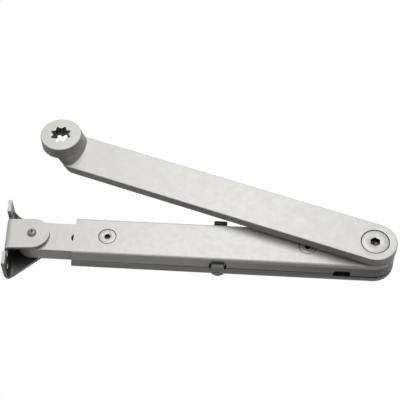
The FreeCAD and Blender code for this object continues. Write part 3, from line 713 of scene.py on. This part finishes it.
@dataclass
class Winding:
    """A wire or ridge wound on an upright axis, by a node tree."""

    wire: float
    coil: float
    length: float
    turns: float
    closed: float = 0.0
    sides: int = 12
    steps: int = 32
    run_out: float = 0.0

    @staticmethod
    def tree(material: bpy.types.Material) -> bpy.types.NodeTree:
        """Builds the node tree with its named inputs.

        Args:
            material: The finish of the wire.

        Returns:
            The tree.
        """
        group = bpy.data.node_groups.new("winding", "GeometryNodeTree")
        group.interface.new_socket("Geometry", in_out="INPUT", socket_type="NodeSocketGeometry")
        for size in Wound:
            kind = "NodeSocketInt" if size in (Wound.SIDES, Wound.STEPS) else "NodeSocketFloat"
            group.interface.new_socket(size.value, in_out="INPUT", socket_type=kind)
        group.interface.new_socket("Geometry", in_out="OUTPUT", socket_type="NodeSocketGeometry")
        tree = Tree(group)
        given = tree.node("NodeGroupInput").outputs
        wire, coil, turns = given[Wound.WIRE.value], given[Wound.COIL.value], given[Wound.TURNS.value]
        closed = given[Wound.CLOSED.value]

        count = tree.plus(tree.times(turns, given[Wound.STEPS.value]), 1.0)
        line = tree.node("GeometryNodeCurvePrimitiveLine")
        points = tree.node("GeometryNodeResampleCurve", mode="COUNT")
        tree.link(line.outputs[0], points.inputs["Curve"])
        tree.link(count, points.inputs["Count"])

        share = tree.node("GeometryNodeSplineParameter").outputs["Factor"]
        turn = tree.times(share, turns)
        angle = tree.times(turn, 2 * math.pi)
        thick = tree.times(wire, 2.0)
        open_turns = tree.minus(turns, tree.times(closed, 2.0))
        close_rise = tree.times(thick, closed)
        free = tree.minus(given[Wound.LENGTH.value], thick)
        pitch = tree.math("DIVIDE", tree.minus(free, tree.times(close_rise, 2.0)), open_turns)
        first = tree.times(tree.math("MINIMUM", turn, closed), thick)
        past_first = tree.math("MAXIMUM", tree.minus(turn, closed), 0.0)
        second = tree.times(tree.math("MINIMUM", past_first, open_turns), pitch)
        past_second = tree.math("MAXIMUM", tree.minus(past_first, open_turns), 0.0)
        third = tree.times(past_second, thick)
        height = tree.plus(tree.plus(first, second), tree.plus(third, wire))

        from_end = tree.math("MINIMUM", turn, tree.minus(turns, turn))
        run_out = tree.math("MAXIMUM", given[Wound.RUN_OUT.value], LEAST_TURN)
        grown = tree.math("MINIMUM", tree.math("DIVIDE", from_end, run_out), 1.0)
        sunk = tree.times(tree.minus(1.0, grown), tree.times(wire, given[Wound.RUN_OUT.value]))
        radius = tree.minus(coil, sunk)
        spot = tree.node("ShaderNodeCombineXYZ")
        tree.link(tree.times(radius, tree.math("COSINE", angle)), spot.inputs[0])
        tree.link(tree.times(radius, tree.math("SINE", angle)), spot.inputs[1])
        tree.link(height, spot.inputs[2])
        placed = tree.node("GeometryNodeSetPosition")
        tree.link(points.outputs[0], placed.inputs["Geometry"])
        tree.link(spot.outputs[0], placed.inputs["Position"])

        section = tree.node("GeometryNodeCurvePrimitiveCircle", mode="RADIUS")
        tree.link(given[Wound.SIDES.value], section.inputs["Resolution"])
        tree.link(wire, section.inputs["Radius"])
        body = tree.node("GeometryNodeCurveToMesh")
        body.inputs["Fill Caps"].default_value = True
        tree.link(placed.outputs[0], body.inputs["Curve"])
        tree.link(section.outputs[0], body.inputs["Profile Curve"])
        real = tree.node("GeometryNodeRealizeInstances")
        tree.link(body.outputs[0], real.inputs[0])
        finish = tree.node("GeometryNodeSetMaterial")
        finish.inputs["Material"].default_value = material
        tree.link(real.outputs[0], finish.inputs["Geometry"])
        tree.link(finish.outputs[0], tree.node("NodeGroupOutput").inputs[0])
        return group

    def mesh(self, name: str, material: bpy.types.Material) -> bpy.types.Mesh:
        """Runs the tree and turns its result into a plain mesh about the upright axis.

        Args:
            name: The mesh's name.
            material: The finish of the wire.

        Returns:
            The mesh, from height 0 to the winding's length.
        """
        carrier = hung(name, bpy.data.meshes.new(name + "_start"))
        modifier = carrier.modifiers.new("winding", "NODES")
        modifier.node_group = self.tree(material)
        values = {size.value: getattr(self, size.name.lower()) for size in Wound}
        for item in modifier.node_group.interface.items_tree:
            if item.in_out == "INPUT" and item.name in values:
                modifier[item.identifier] = values[item.name]
        return settled(carrier, name)


class Rings:
    """A closed shell built of stacked rings with equal counts of points."""

    def __init__(self, count: int, start: float = 0.0) -> None:
        """Starts an empty shell.

        Args:
            count: Points on each ring.
            start: Angle of the first point.
        """
        self.count = count
        self.angles = [start + 2 * math.pi * step / count for step in range(count)]
        self.shell = bmesh.new()
        self.rows: list[list[bmesh.types.BMVert]] = []

    def ring(self, radius: float | Callable[[float], float], height: float | Callable[[float], float]) -> None:
        """Adds a ring.

        Args:
            radius: Its radius, or its radius at an angle.
            height: Its height, or its height at an angle.
        """
        row = []
        for angle in self.angles:
            reach = radius(angle) if callable(radius) else radius
            level = height(angle) if callable(height) else height
            row.append(self.shell.verts.new((reach * math.cos(angle), reach * math.sin(angle), level)))
        self.rows.append(row)

    def close(self, hollow: bool = False) -> bmesh.types.BMesh:
        """Joins the rings and closes both ends.

        Args:
            hollow: Whether the last ring joins the first round an open middle, in place of two fans.

        Returns:
            The closed shell.
        """
        pairs = list(zip(self.rows, self.rows[1:]))
        if hollow:
            pairs.append((self.rows[-1], self.rows[0]))
        for low, high in pairs:
            for step in range(self.count):
                after = (step + 1) % self.count
                self.shell.faces.new((low[step], low[after], high[after], high[step]))
        for row in () if hollow else (self.rows[0], self.rows[-1]):
            centre = sum((vert.co for vert in row), Vector()) / self.count
            pole = self.shell.verts.new(centre)
            for step in range(self.count):
                self.shell.faces.new((row[step], row[(step + 1) % self.count], pole))
        bmesh.ops.recalc_face_normals(self.shell, faces=self.shell.faces)
        return self.shell


@dataclass
class SunkScrew:
    """A countersunk screw with a hexagon socket and a wound thread."""

    node: str
    head: float
    shank: float
    socket: float
    land: float
    socket_heading: float
    body: Body
    thread_length: float
    head_gap: float = 0.25 * MM
    edge: float = 0.45 * MM
    pitch: float = 1.25 * MM
    points: int = 96
    socket_depth: float = 3.4 * MM
    socket_chamfer: float = 0.3 * MM
    mouth_gap: float = 0.35 * MM
    drill_depth: float = 0.9 * MM
    drill_share: float = 0.12
    thread_run_out: float = 0.8
    # Reach, start and fade of the painted shade in the socket and round the head.
    dark_rim: float = 0.2 * MM
    dark_start: float = 0.1 * MM
    dark_fade: float = 0.6 * MM
    seat_shade_rim: float = 0.45 * MM
    seat_shade_start: float = 0.02 * MM
    seat_shade_fade: float = 0.12 * MM

    def hexagon(self, angle: float) -> float:
        """The socket's radius at an angle from its own start."""
        sixth = math.pi / 3
        return self.socket / 2 / math.cos((angle - self.socket_heading) % sixth - sixth / 2)

    def mesh(self, material: bpy.types.Material) -> bpy.types.Mesh:
        """Builds head, socket, shank and thread as one mesh.

        Args:
            material: The screw's finish.

        Returns:
            The mesh in the row frame.
        """
        low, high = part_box(self.node)
        top = high.z
        radius = self.head - self.head_gap
        mouth = self.socket / math.sqrt(3) + self.mouth_gap
        floor = top - self.socket_depth
        depth = self.pitch / 2
        core = self.shank - depth
        cone_end = top - self.land - (radius - self.shank)
        rings = Rings(self.points, self.socket_heading)
        for reach, height in (
                (self.socket * self.drill_share, floor - self.drill_depth),
                (self.hexagon, floor),
                (self.hexagon, top - self.socket_chamfer),
                (mouth, top),
                (radius - self.edge, top),
                (radius - self.edge / 4, top - self.edge / 3),
                (radius, top - self.edge),
                (radius, top - self.land),
                (self.shank, cone_end),
                (self.shank, low.z + self.thread_length + self.pitch),
                (core, low.z + self.thread_length),
                (core, low.z + depth),
                (core - depth, low.z)):
            rings.ring(reach, height)
        shell = rings.close()
        ridge = Winding(depth, self.shank - depth, self.thread_length - self.pitch,
                        (self.thread_length - 2 * self.pitch) / self.pitch, sides=4, steps=24,
                        run_out=self.thread_run_out)
        thread = ridge.mesh(self.node + "_thread", material)
        thread.transform(Matrix.Translation(Vector((0.0, 0.0, low.z + depth))))
        shell.from_mesh(thread)
        bpy.data.meshes.remove(thread)
        mesh = meshed(shell, self.node + "_turned")
        centre = middle(self.node)
        mesh.transform(Matrix.Translation(Vector((centre.x, centre.y, 0.0))))
        smooth(mesh)
        return mesh

    def build(self) -> None:
        """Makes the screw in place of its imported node."""
        centre = middle(self.node)
        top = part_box(self.node)[1].z
        reach = self.socket / math.sqrt(3) + self.dark_rim
        # Painted shade inside the hexagon socket.
        dark = PaintedShadeBore(centre.x, centre.y, reach, top - self.dark_start, self.dark_fade)
        material = ZINC_PLATE.material([dark], centre)
        place_piece(self.node + "_turned", self.mesh(material), material, self.body,
                    [self.node])

    def seat(self, top: float) -> PaintedShadeBore:
        """The ring of painted shade in the gap round the head, in the piece that holds it.

        Args:
            top: Height of that piece's face.

        Returns:
            The ring as a bore.
        """
        centre = middle(self.node)
        return PaintedShadeBore(centre.x, centre.y, self.head + self.seat_shade_rim, top - self.seat_shade_start, self.seat_shade_fade)


@dataclass
class Shoe:
    """The bracket on the door frame with its pivot."""

    sheet: float = 3.0 * MM
    half: float = 40.0 * MM
    skin: float = 0.1 * MM
    # Colour of the painted shade between the ears.
    inside: Colour = (0.02, 0.02, 0.019)
    cross_shade_reach: float = 2.2 * MM
    cross_shade_start: float = 0.15 * MM
    cross_shade_fade: float = 0.5 * MM

    def dress(self) -> None:
        """Gives the shoe's nodes their finishes, with painted shade between its ears and in the screw's cross.
        """
        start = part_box("shoe_bracket")[0]
        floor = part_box("shoe_lower_washer")[0].z
        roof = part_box("shoe_upper_washer")[1].z
        # Painted shade between the ears, where the upper ear and the rod keep the light off.
        between = PaintedShadeHollow(start.x, middle("shoe_bracket").y, 0.0, self.sheet - self.skin, self.half,
                         floor - self.skin, roof + self.skin, soft=self.skin, colour=self.inside)
        dress(SHOE_PAINT.material([between]), "shoe_bracket")
        dress(GROUND_STEEL.material(), "shoe_pivot_pin")
        centre = middle("shoe_pivot_screw")
        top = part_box("shoe_pivot_screw")[1].z
        # Painted shade in the cross of the pivot screw.
        cross_shade = PaintedShadeBore(centre.x, centre.y, self.cross_shade_reach, top - self.cross_shade_start, self.cross_shade_fade)
        dress(PAN_HEAD_ZINC.material([cross_shade], centre), "shoe_pivot_screw")
        dress(WASHER_STEEL.material(), "shoe_lower_washer", "shoe_upper_washer")


@dataclass
class Forearm:
    """The sprung forearm of two shells, its rod and its screws."""

    axes: Axes
    skin: float = 0.35 * MM
    overlap: float = 0.1 * MM
    floor: float = 4.8 * MM
    roof: float = 4.2 * MM
    mouth: float = 41.0 * MM
    half: float = 18.7 * MM
    socket_turn: float = 15.0

    def screws(self) -> list[SunkScrew]:
        """The two screws that hold the shells together.

        Returns:
            The clamp screw and the guide screw.
        """
        turn = Axes.heading(self.axes.forearm) + math.radians(self.socket_turn)
        return [SunkScrew(node, head=7.74 * MM, shank=4.0 * MM, socket=5.0 * MM, land=0.4 * MM,
                          socket_heading=turn, body=Body.FOREARM, thread_length=12.0 * MM)
                for node in ("clamp_screw", "guide_screw")]

    def dress(self) -> None:
        """Gives the forearm's nodes finishes with painted shade inside and round the screws, and makes its
        screws.
        """
        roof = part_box("forearm_upper_shell")[1].z
        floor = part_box("forearm_lower_shell")[0].z
        pivot = self.axes.pivot
        # Painted shade inside the housing; the lower shell also gets painted shade on its upright sides.
        inside = PaintedShadeHollow(pivot.x, pivot.y, Axes.heading(self.axes.forearm), self.mouth, self.half - self.skin,
                        floor + self.floor - self.overlap, roof - self.roof + self.overlap)
        screws = self.screws()
        seat_shades = [screw.seat(roof) for screw in screws]
        dress(SILVER_PAINT.material([inside, *seat_shades]), "forearm_upper_shell")
        dress(LOWER_PAINT.material([inside]), "forearm_lower_shell")
        dress(SILVER_PAINT.material(), "adjusting_rod")
        for screw in screws:
            screw.build()
        dress(BRONZE.material(), "rod_bush", "elbow_upper_bush", "elbow_lower_bush")
        dress(HARD_STEEL.material(), "selector_guide")
        dress(GROUND_STEEL.material(), "block_dowels")
        dress(WASHER_STEEL.material(), "spring_washer", "elbow_thrust_washer")


@dataclass
class Mechanism:
    """Follower, stem, stop spring and selector inside the forearm."""

    axes: Axes
    wire: float = 1.25 * MM
    coil: float = 5.3 * MM
    turns: float = 10.0
    closed: float = 1.2
    travel: float = 2.8 * MM
    end_gap: float = 0.05 * MM
    knob_face: float = 23.5 * MM
    knob_reach: float = 10.0 * MM
    # Colour of the painted shadow of the housing on the selector pin.
    flank_shadow: Colour = (0.035, 0.035, 0.035)

    def spring(self) -> None:
        """Winds the stop spring between its washer and the follower, at its rest length; the mesh doesn't
        shorten when the follower moves.
        """
        low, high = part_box("stop_spring")
        way = self.axes.forearm
        across = 2 * (self.coil + self.wire)
        length = (high.x - low.x - across * abs(way.y)) / way.x - 2 * self.end_gap
        centre = (low + high) / 2
        start = centre - way * length / 2
        material = SPRING_STEEL.material()
        mesh = Winding(self.wire, self.coil, length, self.turns, self.closed).mesh("stop_spring_wire", material)
        mesh.transform(Matrix.Translation(start) @ UP.rotation_difference(way).to_matrix().to_4x4())
        smooth(mesh)
        piece = place_piece("stop_spring_wire", mesh, material, Body.FOREARM, ["stop_spring"])
        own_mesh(piece)

    def dress(self) -> None:
        """Gives the mechanism's nodes their finishes, with a painted shadow on the selector pin, and winds the
        spring.
        """
        dress(HARD_STEEL.material(), "cam_follower")
        dress(GROUND_STEEL.material(), "follower_stem")
        pivot = self.axes.pivot
        # Painted shadow: the selector pin is dark where it lies near the housing's wall, in its shade.
        flank_shadow = PaintedShadeHollow(pivot.x, pivot.y, Axes.heading(self.axes.forearm), 0.0, self.knob_face,
                       -self.knob_reach, self.knob_reach, colour=self.flank_shadow)
        dress(KNOB_STEEL.material([flank_shadow]), "selector_pin")
        dress(WASHER_STEEL.material(), "selector_rings")
        self.spring()


@dataclass
class Neck:
    """The forged wall that drops from the hub's rim to a crease on the bar."""

    bar_top: float
    hub_top: float
    bulge: float = 20.3 * MM
    corner_reach: float = 16.2 * MM
    half: float = 18.95 * MM
    corner: float = 9.0
    back: float = 18.3 * MM
    foot_depth: float = 2.0 * MM
    foot_rise: float = 0.6 * MM
    hub_round: float = 0.95 * MM
    hub_inset: float = 0.02 * MM
    hub_under: float = 6.9 * MM
    bar_thick: float = 8.6 * MM
    slope_head: float = 4.6 * MM
    slope_foot: float = 15.3 * MM
    skin: float = 0.3 * MM
    bore: float = 13.0 * MM
    clear_reach: float = 34.0 * MM
    clear_gap: float = 0.05 * MM
    clear_height: float = 15.4 * MM
    levels: int = 14
    points: int = 144

    def foot(self, angle: float) -> float:
        """The crease's distance from the hub's axis.

        Args:
            angle: Angle from the direction of the elbow.

        Returns:
            The distance.
        """
        toward = math.cos(angle)
        across = abs(math.sin(angle))
        if toward <= 0:
            return self.back + (self.half - self.back) * across ** 24
        rise = self.bulge - self.corner_reach
        bow = (self.half ** 2 + rise ** 2) / (2 * rise)
        centre = self.bulge - bow
        front = centre * toward + math.sqrt(bow ** 2 - (centre * across) ** 2)
        return (front ** -self.corner + (across / self.half) ** self.corner) ** (-1 / self.corner)

    def face(self, angle: float, height: float) -> float:
        """The wall's distance from the hub's axis.

        Args:
            angle: Angle from the direction of the elbow.
            height: Height of the point.

        Returns:
            The distance.
        """
        start = self.bar_top + self.foot_rise
        share = (height - start) / (self.hub_top - self.hub_round - start)
        share = min(max(share, 0.0), 1.0)
        return self.foot(angle) * (1 - share) + (HUB_RADIUS - self.hub_inset) * share

    def bottom(self, angle: float, reach: float) -> float:
        """Where the wall ends below: sunk in the bar, or just inside the neck's underside.

        Args:
            angle: Angle from the direction of the elbow.
            reach: Distance from the hub's axis.

        Returns:
            The height.
        """
        share = (reach * math.cos(angle) - self.slope_head) / (self.slope_foot - self.slope_head)
        under = self.hub_under - min(max(share, 0.0), 1.0) * (self.hub_under + self.bar_thick)
        return self.bar_top + max(under + self.skin, -self.foot_depth)

    def sleeve(self, plain: float, low: Callable[[float, float], float], face: Callable[[float, float], float],
               end: float) -> bmesh.types.BMesh:
        """A ring-shaped form between an upright cylinder and a shaped face.

        Args:
            plain: The cylinder's radius.
            low: Height of the lower end, at an angle and distance.
            face: Distance of the shaped face, at an angle and height.
            end: Height of the upper end.

        Returns:
            The closed form, about the hub's axis with the elbow along X.
        """
        rings = Rings(self.points)
        rings.ring(plain, end)
        rings.ring(plain, lambda angle: low(angle, plain))
        for level in range(self.levels + 1):
            def height(angle: float) -> float:
                """The ring's height at an angle."""
                start = low(angle, self.foot(angle))
                return start + (end - start) * level / self.levels

            rings.ring(lambda angle: face(angle, height(angle)), height)
        return rings.close(hollow=True)

    def wall(self) -> bmesh.types.BMesh:
        """The wall as a closed form."""
        return self.sleeve(self.bore, self.bottom, self.face, self.hub_top - self.hub_round)

    def clearance(self) -> bmesh.types.BMesh:
        """The space outside the wall, above the bar."""
        floor = self.bar_top + self.clear_gap
        return self.sleeve(self.clear_reach, lambda angle, reach: floor,
                           lambda angle, height: max(self.face(angle, height), HUB_RADIUS) + self.clear_gap,
                           self.bar_top + self.clear_height)


@dataclass
class MainArm:
    """The forged arm with its hub, elbow screw and spindle."""

    axes: Axes
    bar_rise: float = 11.3 * MM
    socket_turn: float = 146.03
    weld: float = 0.002 * MM
    flat_weight: int = 50
    star_reach: float = 9.9 * MM
    star_start: float = 0.1 * MM
    star_fade: float = 0.4 * MM
    seat_rise: float = 0.1 * MM

    def screw(self) -> SunkScrew:
        """The screw that clamps the arm on the spindle.

        Returns:
            The screw.
        """
        return SunkScrew("elbow_screw", head=12.3 * MM, shank=6.0 * MM, socket=8.0 * MM, land=0.5 * MM,
                         socket_heading=math.radians(self.socket_turn), body=Body.ARM, thread_length=12.0 * MM,
                         head_gap=0.45 * MM, edge=0.7 * MM, pitch=1.5 * MM, socket_depth=5.0 * MM)

    def tool(self, form: bmesh.types.BMesh) -> bpy.types.Object:
        """Stands a form on the hub's axis, for cutting or joining.

        Args:
            form: The form, about the upright axis with the elbow along X.

        Returns:
            The object that carries it.
        """
        mesh = meshed(form, "neck_tool")
        turn = Matrix.Rotation(Axes.heading(self.axes.arm), 4, "Z")
        mesh.transform(Matrix.Translation(Vector((self.axes.hub.x, self.axes.hub.y, 0.0))) @ turn)
        return hung("neck_tool", mesh)

    def forging(self) -> bpy.types.Mesh:
        """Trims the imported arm's neck to its steep wall, in one mesh.

        Returns:
            The mesh in the row frame.
        """
        low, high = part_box("main_arm")
        arm = bmesh.new()
        arm.from_mesh(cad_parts["main_arm"].data)
        bmesh.ops.remove_doubles(arm, verts=arm.verts, dist=self.weld)
        arm_mesh = meshed(arm, "forged_arm_start")
        neck = Neck(low.z + self.bar_rise, high.z)
        for operation, form in (("DIFFERENCE", neck.clearance()), ("UNION", neck.wall())):
            tool = self.tool(form)
            arm_mesh = baked(arm_mesh, "forged_arm_" + operation.lower(), "BOOLEAN", operation=operation,
                             solver="EXACT", object=tool)
            bpy.data.objects.remove(tool)
        smooth(arm_mesh)
        return baked(arm_mesh, "forged_arm", "WEIGHTED_NORMAL", keep_sharp=True, mode="FACE_AREA",
                     weight=self.flat_weight)

    def dress(self) -> None:
        """Makes the forged arm and its screw, paints shade in the star socket and round the head, and dresses
        the spindle.
        """
        hub = self.axes.hub
        # Painted shade inside the star socket and in the gap round the elbow screw's head.
        star_shade = PaintedShadeBore(hub.x, hub.y, self.star_reach, hub.z - self.star_start, self.star_fade)
        screw = self.screw()
        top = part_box("elbow_screw")[1].z + self.seat_rise
        paint = ARM_PAINT.material([star_shade, screw.seat(top)])
        place_piece("forged_arm", self.forging(), paint, Body.ARM, ["main_arm"])
        screw.build()
        dress(HARD_STEEL.material(), "elbow_spindle")


@dataclass
class Studio:
    """A pale floor, soft lamps and a plain surround."""

    floor_drop: float = 0.15
    floor_size: float = 8.0
    floor_colour: Colour = (0.04, 0.04, 0.04)
    floor_glow: float = 0.97
    surround: float = 0.02
    lamps: tuple[tuple[str, tuple[float, float, float], float, float], ...] = (
        ("back_lamp", (0.20, 0.52, 1.00), 0.60, 7.4),
        ("top_lamp", (0.22, 0.08, 1.15), 0.80, 4.4),
        ("front_lamp", (0.90, -1.45, 0.35), 0.80, 2.9),
    )
    aim: tuple[float, float, float] = (0.17, 0.03, 0.01)

    def seen(self, tree: Tree) -> Socket:
        """Is 1 for rays from the camera, and for those that metal or glass send on.

        Args:
            tree: The tree that asks.

        Returns:
            1 or 0.
        """
        rays = tree.node("ShaderNodeLightPath")
        direct = tree.math("MAXIMUM", rays.outputs["Is Camera Ray"], rays.outputs["Is Glossy Ray"])
        return tree.math("MAXIMUM", direct, rays.outputs["Is Transmission Ray"])

    def build_floor(self) -> None:
        """Makes the floor, which looks white and keeps the object's shadow."""
        half = self.floor_size / 2
        z = model_low.z - self.floor_drop
        mesh = bpy.data.meshes.new("floor")
        mesh.from_pydata([(-half, -half, z), (half, -half, z), (half, half, z), (-half, half, z)], [],
                         [(0, 1, 2, 3)])
        floor = hung("floor", mesh)
        material = bpy.data.materials.new("floor_white")
        material.use_nodes = True
        tree = Tree(material.node_tree)
        material.node_tree.nodes.remove(material.node_tree.nodes["Principled BSDF"])
        diffuse = tree.node("ShaderNodeBsdfDiffuse")
        diffuse.inputs["Color"].default_value = (*self.floor_colour, 1.0)
        glow = tree.node("ShaderNodeEmission")
        tree.link(tree.times(self.seen(tree), self.floor_glow), glow.inputs["Strength"])
        both = tree.node("ShaderNodeAddShader")
        tree.link(diffuse.outputs[0], both.inputs[0])
        tree.link(glow.outputs[0], both.inputs[1])
        tree.link(both.outputs[0], material.node_tree.nodes["Material Output"].inputs["Surface"])
        mesh.materials.append(material)

    def build_world(self) -> None:
        """Sets a surround that lights softly and looks white."""
        world = bpy.data.worlds.new("surround")
        world.use_nodes = True
        bpy.context.scene.world = world
        tree = Tree(world.node_tree)
        back = world.node_tree.nodes["Background"]
        back.inputs["Color"].default_value = (1.0, 1.0, 1.0, 1.0)
        strength = tree.spread(self.seen(tree), 0.0, 1.0, self.surround, 1.0)
        tree.link(strength, back.inputs["Strength"])

    def build_lamps(self) -> None:
        """Hangs the soft lamps and points them at the object."""
        aim = Vector(self.aim)
        for name, place, size, power in self.lamps:
            data = bpy.data.lights.new(name, "AREA")
            data.shape = "DISK"
            data.size = size
            data.energy = power
            lamp = hung(name, data)
            lamp.location = place
            lamp.rotation_euler = (aim - Vector(place)).to_track_quat("-Z", "Y").to_euler()

    def build(self) -> None:
        """Makes the whole studio."""
        self.build_floor()
        self.build_world()
        self.build_lamps()
        bpy.context.scene.view_settings.view_transform = "Standard"


@dataclass
class PhotoCamera:
    """The camera at the photograph's viewpoint."""

    place: tuple[float, float, float] = (0.188066, -0.599719, 0.8425)
    heading: float = 1.33909
    tilt: float = 37.37968
    roll: float = -1.53192
    lens: float = 103.9
    sensor: float = 36.0

    def build(self) -> None:
        """Makes the camera and hands it to the scene."""
        data = bpy.data.cameras.new("photo_camera")
        data.lens = self.lens
        data.sensor_width = self.sensor
        data.sensor_fit = "HORIZONTAL"
        camera = hung("photo_camera", data)
        turn = (Matrix.Rotation(math.radians(self.heading), 4, "Z")
                @ Matrix.Rotation(math.radians(self.tilt), 4, "X")
                @ Matrix.Rotation(math.radians(self.roll), 4, "Z"))
        camera.matrix_world = Matrix.Translation(Vector(self.place)) @ turn
        bpy.context.scene.camera = camera


def main() -> None:
    """Builds the studio and dresses the arm, one sub-assembly after the other."""
    logging.basicConfig(level=logging.INFO, format="%(message)s")
    axes = Axes.read()
    Studio().build()
    PhotoCamera().build()
    for assembly in (Shoe(), Forearm(axes), Mechanism(axes), MainArm(axes)):
        assembly.dress()
        log.info("%s done", type(assembly).__name__)


if __name__ == "__main__":
    main()
